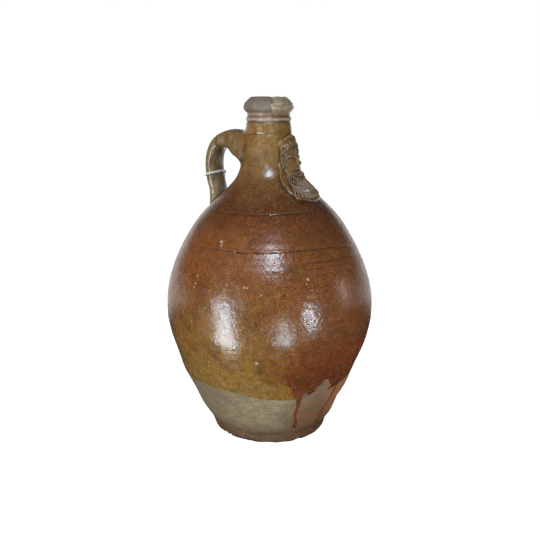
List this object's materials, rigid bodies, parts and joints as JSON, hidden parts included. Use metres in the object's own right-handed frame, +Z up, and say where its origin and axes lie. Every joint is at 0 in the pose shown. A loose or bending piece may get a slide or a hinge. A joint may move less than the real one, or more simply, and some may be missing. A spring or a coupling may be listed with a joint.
{
  "type": "bellarmine jug",
  "caption": "Large egg-shaped salt-glazed stoneware bottle with a narrow ringed neck, thick lip, strap handle at the back and a bearded mask in relief on the front of the neck.",
  "frame": {"origin": "centre of the flat underside of the foot", "axes": "+Z up along the jug's axis, -Y the way the mask looks, +Y towards the handle"},
  "size_m": [0.2576, 0.2576, 0.4155],
  "materials": {
    "stoneware": "mottled brown salt glaze with orange peel, bare grey-buff clay on the foot and worn lip",
    "thread": "matte white cotton"
  },
  "bodies": {
    "root": {"jug": "stoneware", "handle_thread": "thread"}
  },
  "joints": []
}
